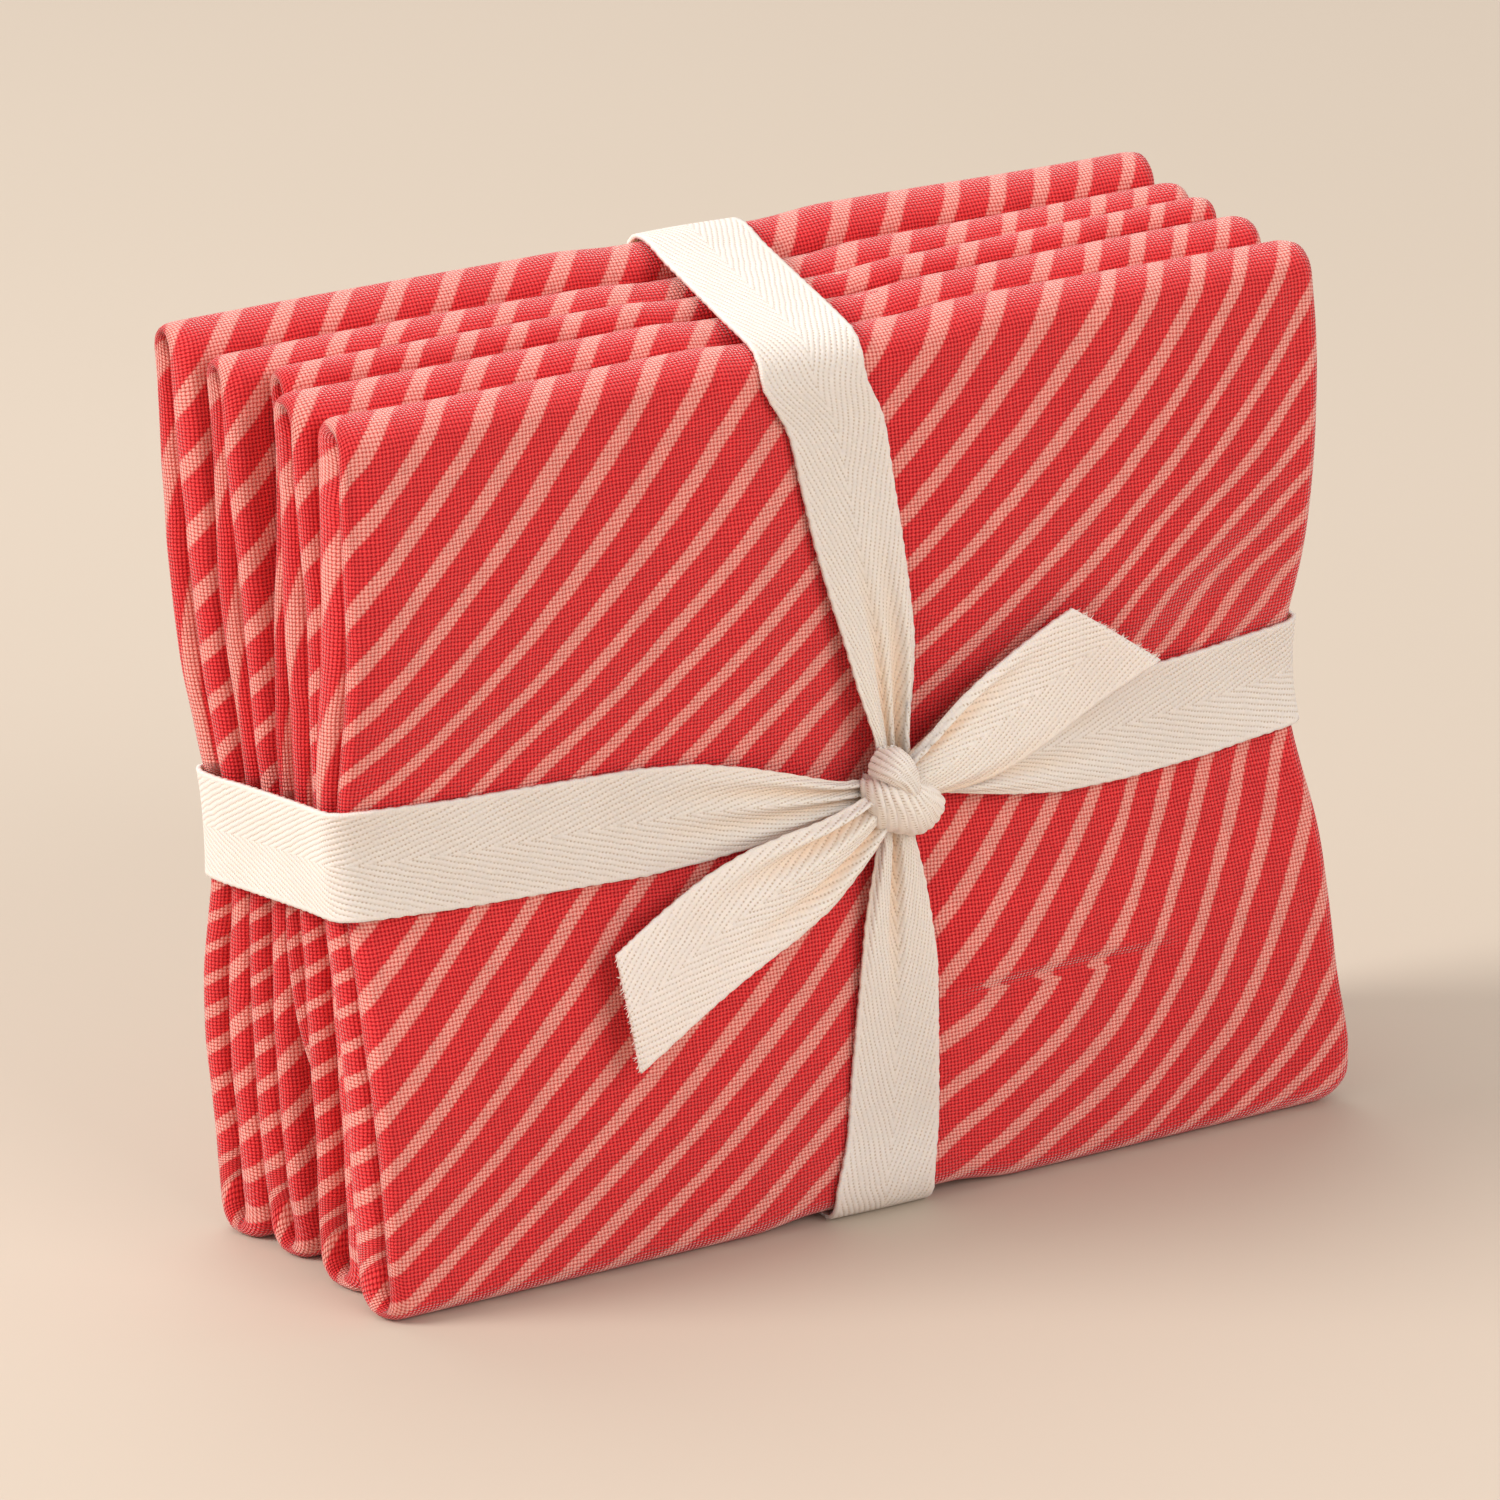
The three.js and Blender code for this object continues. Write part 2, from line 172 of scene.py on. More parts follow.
def settle(x, y, z):
    """A point of the squared-up stack in the tied and pressed shape."""
    back = share_back(y)
    front = 1 - back
    over_waist = z - waist_height(x, y)
    waist = bell(over_waist, WAIST_REACH)
    ends = ease((-70 - x) / 25) + ease((x - 68) / 25)
    pillow = PILLOW * math.cos(x / PILLOW_REACH) * math.sin(math.pi * min(z, HEIGHT) / HEIGHT)
    trough = TROUGH * bell(x - along(UPRIGHT_FRONT, z), TROUGH_REACH)
    trough *= ease(z / 20) * ease((170 - z) / 30)
    press_front = WAIST_PRESS_FRONT * waist + END_PRESS * front * ends * waist**2 + trough - pillow
    press_back = WAIST_PRESS_BACK * waist + END_PRESS_BACK * END_PRESS * back * ends * waist**2
    press_back -= PILLOW_BACK * pillow
    pinch_right = PINCH_RIGHT * ease((x - 25) / 68) * bell(over_waist, PINCH_RIGHT_REACH)
    pinch_left = PINCH_LEFT * back * ease((-30 - x) / 65) * waist
    tape_here = ease((26 - abs(x - 2)) / 13)
    lift = FOOT_LIFT * tape_here * ease((24 - z) / 24)
    dip = CREST_DIP * tape_here * ease((z - 130) / 28)
    return np.array([
        x + LEAN * (0.5 - z / HEIGHT) - pinch_right + pinch_left,
        y + front * press_front - back * press_back,
        z + lift - dip,
    ])


def in_frame(point):
    return (point + FRAME_SHIFT) * MM


def sine_noise(a, b, seed):
    """Smooth unevenness between about -1 and 1, from a few crossing waves."""
    total = 0.0
    for i in range(4):
        turn = seed * 1.7 + i * 2.4
        reach = 1.0 + 0.73 * i
        wave = math.sin(reach * (a * math.cos(turn) + b * math.sin(turn)) + seed * 3.1 + i)
        total += wave / (1 + 0.6 * i)
    return total / 2.2


# Meshes
def add_mesh(name, bm, material):
    mesh = bpy.data.meshes.new(name)
    bm.to_mesh(mesh)
    bm.free()
    mesh.materials.append(material)
    piece = bpy.data.objects.new(name, mesh)
    bpy.context.collection.objects.link(piece)
    return piece


def grid_piece(name, columns, rows, place, thick, offset, material):
    """A grid bent by place(i, j), which gives the point in mm and its flat and print places."""
    bm = bmesh.new()
    bmesh.ops.create_grid(bm, x_segments=columns - 1, y_segments=rows - 1, size=0.5)
    flat_layer = bm.loops.layers.uv.new("Flat")
    print_layer = bm.loops.layers.uv.new("Print")
    flats, prints = {}, {}
    for vert in bm.verts:
        i = round((vert.co.x + 0.5) * (columns - 1))
        j = round((vert.co.y + 0.5) * (rows - 1))
        point, flat, mark = place(i, j)
        vert.co = in_frame(point)
        flats[vert], prints[vert] = flat, mark
    for face in bm.faces:
        face.smooth = True
        for loop in face.loops:
            loop[flat_layer].uv = flats[loop.vert]
            loop[print_layer].uv = prints[loop.vert]
    piece = add_mesh(name, bm, material)
    solid = piece.modifiers.new("Thickness", "SOLIDIFY")
    solid.thickness = thick * MM
    solid.offset = offset
    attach(piece, "root")
    return piece


# Node groups
FLOAT, VECTOR = "NodeSocketFloat", "NodeSocketVector"


class Graph:
    """Short calls for the nodes of one tree."""

    def __init__(self, tree):
        self.tree = tree

    def node(self, kind, links=None, **settings):
        made = self.tree.nodes.new(kind)
        for key, value in settings.items():
            setattr(made, key, value)
        for key, value in (links or {}).items():
            self.set(made.inputs[key], value)
        return made

    def set(self, socket, value):
        if isinstance(value, bpy.types.NodeSocket):
            self.tree.links.new(value, socket)
        else:
            socket.default_value = value

    def math(self, operation, *values, clamp=False):
        made = self.node("ShaderNodeMath", operation=operation, use_clamp=clamp)
        for i, value in enumerate(values):
            self.set(made.inputs[i], value)
        return made.outputs[0]

    def smooth(self, value, low, high, to_low=0.0, to_high=1.0):
        made = self.node("ShaderNodeMapRange", {
            "Value": value, "From Min": low, "From Max": high, "To Min": to_low, "To Max": to_high,
        }, interpolation_type="SMOOTHSTEP")
        return made.outputs[0]

    def blend(self, factor, a, b, kind="MIX"):
        made = self.node("ShaderNodeMix", data_type="RGBA", blend_type=kind)
        for key, value in (("Factor", factor), ("A", a), ("B", b)):
            self.set(made.inputs[key], value)
        return made.outputs["Result"]

    def wave(self, value):
        """Arches from 0 to 1, one for each whole step of value."""
        return self.math("ABSOLUTE", self.math("SINE", self.math("MULTIPLY", value, math.pi)))

    def stray(self, value, amount):
        """A noise value around nought instead of around a half."""
        return self.math("MULTIPLY", self.math("SUBTRACT", value, 0.5), amount)

    def noise(self, vector, scale, detail, dimensions="2D"):
        links = {"Vector": vector, "Scale": scale, "Detail": detail}
        return self.node("ShaderNodeTexNoise", links, noise_dimensions=dimensions)

    def darken(self, colour, level):
        grey = self.node("ShaderNodeCombineColor", {"Red": level, "Green": level, "Blue": level})
        return self.blend(1.0, colour, grey.outputs[0], "MULTIPLY")

    def uv(self, name):
        return self.node("ShaderNodeUVMap", uv_map=name).outputs[0]

    def group(self, tree, links):
        return self.node("ShaderNodeGroup", links, node_tree=tree)


def start_group(name, inputs, outputs):
    tree = bpy.data.node_groups.new(name, "ShaderNodeTree")
    for label, kind, value in inputs:
        socket = tree.interface.new_socket(label, in_out="INPUT", socket_type=kind)
        if value is not None:
            socket.default_value = value
    for label, kind in outputs:
        tree.interface.new_socket(label, in_out="OUTPUT", socket_type=kind)
    graph = Graph(tree)
    return graph, tree.nodes.new("NodeGroupInput").outputs, tree.nodes.new("NodeGroupOutput").inputs


def weave_group():
    """Plain weave: thread crowns, pinholes at the corners, and uneven threads."""
    g, source, result = start_group(
        "Plain weave",
        [("Flat", VECTOR, None), ("Pitch", FLOAT, THREAD_PITCH * MM)],
        [("Height", FLOAT), ("Hole", FLOAT), ("Tint", FLOAT), ("Cell", VECTOR)],
    )
    wobble = g.noise(source["Flat"], 90.0, 1.0)
    split = g.node("ShaderNodeSeparateXYZ", {"Vector": source["Flat"]})
    parts = g.node("ShaderNodeSeparateColor", {"Color": wobble.outputs["Color"]})
    pitch = source["Pitch"]
    shift_x, shift_y = g.stray(parts.outputs[0], 1.5), g.stray(parts.outputs[1], 1.5)
    x = g.math("ADD", g.math("DIVIDE", split.outputs[0], pitch), shift_x)
    y = g.math("ADD", g.math("DIVIDE", split.outputs[1], pitch), shift_y)
    sin_x, sin_y = g.wave(x), g.wave(y)
    cell_x, cell_y = g.math("FLOOR", x), g.math("FLOOR", y)
    parity = g.math("FLOORED_MODULO", g.math("ADD", cell_x, cell_y), 2.0)
    across = g.math("MULTIPLY", g.math("POWER", sin_x, 0.7), g.math("MULTIPLY_ADD", sin_y, 0.45, 0.55))
    down = g.math("MULTIPLY", g.math("POWER", sin_y, 0.7), g.math("MULTIPLY_ADD", sin_x, 0.45, 0.55))
    height = g.math(
        "ADD", g.math("MULTIPLY", across, parity), g.math("MULTIPLY", down, g.math("SUBTRACT", 1.0, parity)),
    )
    # Pinhole mask, which the cloth uses to paint shade between the threads
    hole = g.smooth(g.math("MAXIMUM", sin_x, sin_y), 0.94, 0.4)
    threads_x = g.node("ShaderNodeTexWhiteNoise", {"W": cell_x}, noise_dimensions="1D")
    threads_y = g.node("ShaderNodeTexWhiteNoise", {"W": g.math("ADD", cell_y, 977.0)}, noise_dimensions="1D")
    cells = g.node("ShaderNodeCombineXYZ", {"X": cell_x, "Y": cell_y})
    speck = g.node("ShaderNodeTexWhiteNoise", {"Vector": cells.outputs[0]}, noise_dimensions="3D")
    tint = g.math(
        "ADD", g.math("MULTIPLY", threads_x.outputs["Value"], 0.35),
        g.math("MULTIPLY", threads_y.outputs["Value"], 0.3),
    )
    tint = g.math("ADD", tint, g.math("MULTIPLY", speck.outputs["Value"], 0.35))
    middle = g.node("ShaderNodeCombineXYZ", {
        "X": g.math("MULTIPLY", g.math("SUBTRACT", g.math("ADD", cell_x, 0.5), shift_x), pitch),
        "Y": g.math("MULTIPLY", g.math("SUBTRACT", g.math("ADD", cell_y, 0.5), shift_y), pitch),
    })
    to_middle = g.node(
        "ShaderNodeVectorMath", {0: middle.outputs[0], 1: source["Flat"]}, operation="SUBTRACT",
    )
    g.set(result["Height"], height)
    g.set(result["Hole"], hole)
    g.set(result["Tint"], tint)
    g.set(result["Cell"], to_middle.outputs[0])
    return g.tree


def stripe_group():
    """Slanting stripes whose edges step a little with the threads."""
    g, source, result = start_group(
        "Slanting stripes",
        [("Print", VECTOR, None), ("Step", VECTOR, None), ("Pitch", FLOAT, STRIPE_PITCH * MM),
         ("Share", FLOAT, 0.34), ("Soft", FLOAT, 0.035)],
        [("Mask", FLOAT)],
    )
    step = g.node("ShaderNodeVectorMath", {0: source["Step"]}, operation="SCALE")
    step.inputs["Scale"].default_value = 0.45
    place = g.node("ShaderNodeVectorMath", {0: source["Print"], 1: step.outputs[0]}, operation="ADD")
    split = g.node("ShaderNodeSeparateXYZ", {"Vector": place.outputs[0]})
    ragged = g.noise(source["Print"], 240.0, 2.0)
    wide = g.noise(source["Print"], 30.0, 1.0)
    phase = g.math("DIVIDE", g.math("SUBTRACT", split.outputs[0], split.outputs[1]), source["Pitch"])
    phase = g.math("ADD", phase, g.stray(ragged.outputs[0], 0.07))
    away = g.math("ABSOLUTE", g.math("SUBTRACT", g.math("FRACT", phase), 0.5))
    half = g.math("MULTIPLY", source["Share"], g.math("MULTIPLY_ADD", wide.outputs[0], 0.3, 0.35))
    soft = source["Soft"]
    g.set(result["Mask"], g.smooth(away, g.math("ADD", half, soft), g.math("SUBTRACT", half, soft)))
    return g.tree


def herringbone_group():
    """Twill ribs that meet in one line down the middle of a tape."""
    g, source, result = start_group(
        "Herringbone twill",
        [("Flat", VECTOR, None), ("Rib pitch", FLOAT, RIB_PITCH * MM), ("Slope", FLOAT, RIB_SLOPE),
         ("Half width", FLOAT, HALF_TAPE)],
        [("Height", FLOAT), ("Hole", FLOAT), ("Tint", FLOAT)],
    )
    strand_pitch, edge_pitch = 0.00066, 0.0005
    split = g.node("ShaderNodeSeparateXYZ", {"Vector": source["Flat"]})
    wobble = g.noise(source["Flat"], 260.0, 2.0)
    side = g.math("ABSOLUTE", split.outputs[0])
    run = split.outputs[1]
    rib = g.math("SUBTRACT", side, g.math("MULTIPLY", run, source["Slope"]))
    rib = g.math("ADD", g.math("DIVIDE", rib, source["Rib pitch"]), g.stray(wobble.outputs[0], 0.45))
    crown = g.wave(rib)
    twist = g.math("ADD", g.math("DIVIDE", run, strand_pitch), g.math("MULTIPLY", rib, 0.55))
    strand = g.wave(twist)
    height = g.math(
        "ADD", g.math("MULTIPLY", crown, 0.7), g.math("MULTIPLY", g.math("MULTIPLY", strand, crown), 0.3),
    )
    # Hole mask, which the tape uses to paint shade into the gaps of the twill
    hole = g.math("MULTIPLY", g.smooth(crown, 0.72, 0.2), g.smooth(strand, 0.9, 0.4))
    cells = g.node("ShaderNodeCombineXYZ", {"X": g.math("FLOOR", rib), "Y": g.math("FLOOR", twist)})
    speck = g.node("ShaderNodeTexWhiteNoise", {"Vector": cells.outputs[0]}, noise_dimensions="3D")
    hole = g.math("MULTIPLY", hole, g.smooth(speck.outputs["Value"], 0.1, 0.8, 0.25, 1.0))
    # Bound edge, with threads straight across
    half_width = source["Half width"]
    edge = g.smooth(side, g.math("SUBTRACT", half_width, 0.0011), g.math("SUBTRACT", half_width, 0.0005))
    inside = g.math("SUBTRACT", 1.0, edge)
    fine = g.math("SINE", g.math("DIVIDE", g.math("MULTIPLY", run, math.pi), edge_pitch))
    fine = g.math("MULTIPLY_ADD", g.math("ABSOLUTE", fine), 0.35, 0.5)
    height = g.math("ADD", g.math("MULTIPLY", height, inside), g.math("MULTIPLY", fine, edge))
    # Painted shade: the tint darkens the valleys between the ribs, besides the random tone of the threads
    valley = g.smooth(crown, 0.85, 0.0)
    tint = g.math("ADD", g.math("MULTIPLY", speck.outputs["Value"], 0.5), g.math("MULTIPLY", valley, -0.35))
    g.set(result["Height"], height)
    g.set(result["Hole"], g.math("MULTIPLY", hole, inside))
    g.set(result["Tint"], tint)
    return g.tree


WEAVE = weave_group()
STRIPES = stripe_group()
TWILL = herringbone_group()


# Materials
# Pairs of colours: each cotton's two shades, or the painted thread highlight and painted pinhole shade on
# the red and on the pale stripe
RED = (0.80, 0.026, 0.034, 1), (0.88, 0.042, 0.046, 1)
PALE = (0.94, 0.28, 0.235, 1), (0.98, 0.36, 0.30, 1)
# Painted highlight on the tops of the threads
THREAD_HIGHLIGHT = (1.0, 0.10, 0.095, 1), (1.0, 0.50, 0.43, 1)
# Painted shade in the pinholes between the threads
PINHOLE_SHADE = (0.44, 0.004, 0.010, 1), (0.78, 0.10, 0.08, 1)
CREAM = (0.78, 0.69, 0.625), (0.84, 0.76, 0.70)
# Painted light on the pleated tape near the knot
LIT_PLEAT_CREAM = (0.92, 0.83, 0.74, 1)
# Painted shade in the valleys of the pleats, tan as from light bounced inside them
VALLEY_SHADE_TAN = (0.90, 0.66, 0.47, 1)
# Painted shade in the holes of the twill
TWILL_HOLE_SHADE = (0.50, 0.36, 0.25, 1)
LOOSE_CREAM = (0.84, 0.76, 0.68, 1), (0.93, 0.86, 0.79, 1)
FLOOR = (0.554, 0.471, 0.385, 1), (0.578, 0.489, 0.405, 1)


def start_material(name):
    material = bpy.data.materials.new(name)
    material.use_nodes = True
    material.node_tree.nodes.clear()
    return material, Graph(material.node_tree)


def end_material(g, links):
    shader = g.node("ShaderNodeBsdfPrincipled", links)
    g.node("ShaderNodeOutputMaterial", {"Surface": shader.outputs[0]})


def striped_cotton():
    material, g = start_material("striped_cotton")
    flat, marks = g.uv("Flat"), g.uv("Print")
    weave = g.group(WEAVE, {"Flat": flat}).outputs
    stripe = g.group(STRIPES, {"Print": marks, "Step": weave["Cell"]}).outputs["Mask"]
    cloud = g.noise(flat, 22.0, 3.0).outputs[0]
    colour = g.blend(stripe, g.blend(cloud, *RED), g.blend(cloud, *PALE))
    colour = g.darken(colour, g.math("MULTIPLY_ADD", weave["Tint"], 0.30, 0.85))
    # Painted highlight: the tops of the threads are lightened, half way at most
    crown = g.math("MULTIPLY", g.smooth(weave["Height"], 0.62, 1.0), 0.5)
    colour = g.blend(crown, colour, g.blend(stripe, *THREAD_HIGHLIGHT))
    # Painted shade: the pinholes between the threads are darkened
    colour = g.blend(weave["Hole"], colour, g.blend(stripe, *PINHOLE_SHADE))
    bump = g.node("ShaderNodeBump", {"Height": weave["Height"], "Strength": 1.0, "Distance": 0.0003})
    fuzz = g.math("MULTIPLY_ADD", g.smooth(weave["Height"], 0.25, 0.95), 1.0, 0.08, clamp=True)
    end_material(g, {
        "Base Color": colour, "Roughness": 0.86, "Specular IOR Level": 0.18, "Sheen Weight": fuzz,
        "Sheen Roughness": 0.32, "Sheen Tint": (1.0, 0.9, 0.87, 1), "Normal": bump.outputs[0],
    })
    return material


def twill_cotton(name, slope, half_width, light):
    """Cream tape. Its print place says how deep in a valley and how pleated a point is, for painted shade in
    the valleys and painted light on the pleats. A light above 1 paints the whole tape lighter.
    """
    material, g = start_material(name)
    flat = g.uv("Flat")
    twill = g.group(TWILL, {"Flat": flat, "Slope": slope, "Half width": half_width}).outputs
    # A light above 1 paints a lighter copy of the same tape
    shades = [(*(light * part for part in shade), 1) for shade in CREAM]
    base = g.blend(g.noise(flat, 60.0, 3.0).outputs[0], *shades)
    fold_light_and_shade = g.node("ShaderNodeSeparateXYZ", {"Vector": g.uv("Print")}).outputs
    # Painted light: pleated tape near the knot is lightened
    base = g.blend(g.math("MULTIPLY", fold_light_and_shade[1], 0.6), base, LIT_PLEAT_CREAM)
    # Painted shade: the valleys of the pleats turn tan
    base = g.blend(g.math("MULTIPLY", fold_light_and_shade[0], 0.75), base, VALLEY_SHADE_TAN)
    colour = g.darken(base, g.math("MULTIPLY_ADD", twill["Tint"], 0.10, 0.96))
    # Painted shade: the holes of the twill are darkened
    colour = g.blend(g.math("MULTIPLY", twill["Hole"], 0.85), colour, TWILL_HOLE_SHADE)
    bump = g.node("ShaderNodeBump", {"Height": twill["Height"], "Strength": 0.7, "Distance": 0.0002})
    end_material(g, {
        "Base Color": colour, "Roughness": 0.88, "Specular IOR Level": 0.2, "Sheen Weight": 0.15,
        "Sheen Roughness": 0.5, "Sheen Tint": (1.0, 0.96, 0.9, 1), "Normal": bump.outputs[0],
        "Subsurface Weight": 0.25, "Subsurface Radius": (0.002, 0.0015, 0.001), "Subsurface Scale": 1.0,
    })
    return material


def plain_material(name, shades, scale, detail, roughness, gloss):
    material, g = start_material(name)
    place = g.node("ShaderNodeTexCoord").outputs["Object"]
    colour = g.blend(g.noise(place, scale, detail, "3D").outputs[0], *shades)
    end_material(g, {"Base Color": colour, "Roughness": roughness, "Specular IOR Level": gloss})
    return material


CLOTH = striped_cotton()
TAPE = twill_cotton("cotton_twill", RIB_SLOPE, HALF_TAPE, 1.0)
# The tails are the same tape with its cream painted lighter, as painted light
LIT_END_TAPE = twill_cotton("cotton_twill_ends_painted_lighter", RIB_SLOPE, HALF_TAPE, 1.12)
# The ribs of the knot run nearly along its wraps, and no bound edge shows. Its cream is painted lighter
# still, as painted light
LIT_KNOT_TAPE = twill_cotton("cotton_twill_gathered", 0.05, 0.05, 1.14)
THREAD = plain_material("loose_cotton", LOOSE_CREAM, 900.0, 1.0, 0.9, 0.15)


# Folded cuts
def fold_point(depth, base, turn, low):
    """Outer point of a crest under base, or of a foot over it, from 0 degrees at its back."""
    angle = math.radians(turn)
    if low:
        z = base + FOOT_RISE * depth * max(0.0, 1.09 + 1.2 * math.sin(angle))
    else:
        z = base - CREST_RISE * depth + CREST_RISE * depth * math.sin(angle)
    return 0.5 * depth * math.cos(angle), z


def fold_stations(cut):
    """Places along the folded cloth seen from its end: outer and inner point, and how far tucked in."""
    half = cut.depth / 2
    hollow = min(1.0, half - 3.1)
    rows = []

    def add(outer_a, outer_z, inner_a, inner_z, tuck=0.0):
        rows.append((outer_a, outer_z, inner_a + along(cut.seam, inner_z) * (1 - tuck), inner_z, tuck))

    def leg(side, heights):
        for z in heights:
            add(side * half, z, side * SLIT, z)

    def bend(side, ends, inner_ends, shares):
        for t in shares:
            add(side * half, mix(*ends, t), side * SLIT, mix(*inner_ends, t))

    def arc(turns, inside, base, low):
        for turn in turns:
            a, z = fold_point(cut.depth, base, turn, low)
            reach = along([(k, r) for k, _, r in inside], turn)
            side = along([(k, s) for k, s, _ in inside], turn)
            add(a, z, side, base + (reach if low else -reach))

    def tucked_edge(heights):
        for z in heights:
            add(-core, z, 0.5 * core, z, 1.0)

    # Hollow inside the crest and the foot: turn, place in depth, distance from the outside
    top_inside = [
        (0, SLIT, SLIT_TOP), (38, hollow, 4.5), (68, 0.8 * hollow, 2.9), (90, 0, 2.2),
        (112, -0.8 * hollow, 2.9), (142, -hollow, 4.5), (180, -SLIT, SLIT_TOP),
    ]
    foot_inside = [
        (180, -SLIT, SLIT_LOW), (212, -hollow, 5.4), (248, -0.8 * hollow, 2.9), (270, 0, 2.2),
        (292, 0.8 * hollow, 2.9), (328, hollow, 5.4), (360, SLIT, SLIT_LOW),
    ]
    core = min(1.4, 0.35 * half)
    crest = (LEG_TOP, cut.top - CREST_RISE * cut.depth), (LEG_TOP, cut.top - SLIT_TOP)
    foot = (LEG_LOW, cut.foot + FOOT_RISE * cut.depth * 1.09), (LEG_LOW, cut.foot + SLIT_LOW)

    # Upper cut edge, which turns out of the middle into the back leg
    tucked_edge(np.linspace(142, 88, 9))
    add(-core, 84.0, 0.5 * core, 85.0, 1.0)
    add(-0.5 * core, 81.2, 0.7 * core, 84.6, 0.9)
    add(0.35 * half, 80.0, core, 84.4, 0.6)
    add(0.75 * half, 80.6, 0.5 * core, 84.6, 0.25)
    add(half, 83.0, SLIT, 85.4)
    leg(1, np.arange(86.0, 142.1, 2.6))
    bend(1, *crest, (0.25, 0.5, 0.75))
    arc(np.arange(0, 181, 10), top_inside, cut.top, False)
    bend(-1, crest[0][::-1], crest[1][::-1], (0.25, 0.5, 0.75))
    # Front leg, with closer rows at the small tuck
    leg(-1, np.arange(142.0, 43.0, -2.4))
    leg(-1, np.arange(41.6, 33.5, -0.6))
    leg(-1, np.arange(31.6, 15.0, -2.4))
    bend(-1, *foot, (0.3, 0.65))
    arc(np.arange(180, 361, 10), foot_inside, cut.foot, True)
    bend(1, foot[0][::-1], foot[1][::-1], (0.35, 0.7))
    # Lower part of the back leg, and the lower cut edge
    leg(1, np.arange(16.0, 74.0, 2.6))
    add(half, 75.6, SLIT, 73.4)
    add(0.75 * half, 78.2, 0.5 * core, 74.2, 0.25)
    add(0.35 * half, 78.8, core, 74.4, 0.6)
    add(-0.5 * core, 77.6, 0.7 * core, 74.2, 0.9)
    add(-core, 74.8, 0.5 * core, 73.8, 1.0)
    tucked_edge(np.linspace(70, 18, 9))
    return rows


def panel_columns(width):
    """Across the flat cloth: flat place, place across the cut, share outwards, nose turn."""
    half = width / 2 - NOSE_START
    edge = CLOTH_FLAT[0] / MM / 2
    flap_run, flap_rise = 0.92, 30
    columns = []
    for s in np.linspace(-edge, -half - NOSE, 9)[:-1]:
        f = -s - half - NOSE
        columns.append((s, -half + flap_run * f, 0.34 * ease(f / flap_rise), 0.0))
    for t in np.linspace(1, 0, 11)[:-1]:
        turn = math.pi * t
        columns.append((-half - NOSE * t, -half, 0.5 + 0.5 * math.cos(turn), -math.sin(turn)))
    for t in np.linspace(-1, 1, 92):
        s = half * (t + 0.5 * math.sin(math.pi * t) / math.pi)
        columns.append((s, s, 1.0, 0.0))
    for t in np.linspace(0, 1, 11)[1:]:
        turn = math.pi * t
        columns.append((half + NOSE * t, half, 0.5 + 0.5 * math.cos(turn), math.sin(turn)))
    for s in np.linspace(half + NOSE, edge, 9)[1:]:
        f = s - half - NOSE
        columns.append((s, half - flap_run * f, 0.62 * ease(f / flap_rise), 0.0))
    return columns


def tuck_line(x):
    return 1.1 * math.sin((x - 20) / 14)


def turned_place(x, z, cos, sin):
    """Place along and across a line that slants up to the right."""
    return x * cos + z * sin, -x * sin + z * cos


def front_relief(x, z):
    """Soft troughs and ridges on the front of the stack, outwards in mm."""
    r = 0.45 * sine_noise(x / 38, z / 30, 2.0)
    r += 0.22 * sine_noise(x / 13, z / 15, 5.0) * bell(z - waist_height(x, -30), 30)
    # Small tuck low on the right
    tuck = z - 37.2 - tuck_line(x)
    r += 0.75 * math.tanh(tuck / 0.7) * ease((x - 14) / 12) * ease((64 - x) / 14) * bell(tuck, 9)
    # Shallow groove beside each rounded end
    groove = bell(x + 88.6, 2.2) + 0.6 * bell(x - 88.6, 2.4)
    r -= 0.75 * groove * (0.35 + 0.65 * ease((z - 120) / 25))
    r += 0.5 * bell(x + 84, 3.4) * ease((z - 110) / 30)
    # Drag lines from the ends of the waist tape
    d, e = turned_place(x - 72, z - 97, 0.78, 0.62)
    r -= 0.9 * bell(d, 15) * bell(e, 5.5)
    r += 0.6 * bell(d + 2, 18) * bell(e - 10, 6)
    d, e = turned_place(x + 66, z - 98, 0.86, -0.5)
    r -= 0.5 * bell(d, 14) * bell(e, 6)
    d, e = turned_place(x + 40, z - 62, 0.95, -0.3)
    r -= 0.5 * bell(d, 26) * bell(e, 4.5)
    r += 0.35 * bell(x - 24 - 0.25 * (z - 60), 5) * bell(z - 55, 22)
    return r


# Sideways pull of the tie on the stripes above the waist tape, by height over its middle
PULL_ABOVE = [(-90, 0), (8, 0), (12, 0), (22, -3.0), (32, -1.2), (44, 1.6), (90, 1.6)]


def print_place(u, v, phase):
    """Where the stripes lie on the flat cloth: bowed and waved, and drawn aside by the tie."""
    across = 0.94 * u + 0.22 * max(0.0, u - 52)
    if v > 10:
        down = 0.98 * 10 + 1.17 * (v - 10) - 0.0040 * max(0.0, v - 20) ** 2
    else:
        down = 0.98 * v - 0.0036 * max(0.0, -v - 46) ** 2
    low = min(62.0, max(-10.0, -v - 20))
    below = (0.38 * (low - low**3 / 6075) - 4.5) * ease((12 - v) / 14)
    pull = ease((u - 2) / 72) * below + ease((u - 42) / 26) * soft_along(PULL_ABOVE, v)
    bow = 0.7 * math.sin(v / 24 + u / 55 + 0.6) + 0.45 * math.sin(v / 12 - u / 31)
    bow += 0.4 * sine_noise(u / 12, v / 10, 3.0)
    # The print steps sideways under the small tuck
    under_tuck = ease((-v - 41.6 - tuck_line(u)) / 0.6) * ease((v + 74) / 30)
    jog = -2.9 * ease((u - 12) / 10) * ease((60 - u) / 24) * under_tuck
    # A whole number of stripes keeps both places above nought
    start = 100 * STRIPE_PITCH
    return (across - pull + phase + bow + jog + start) * MM, (down + start) * MM


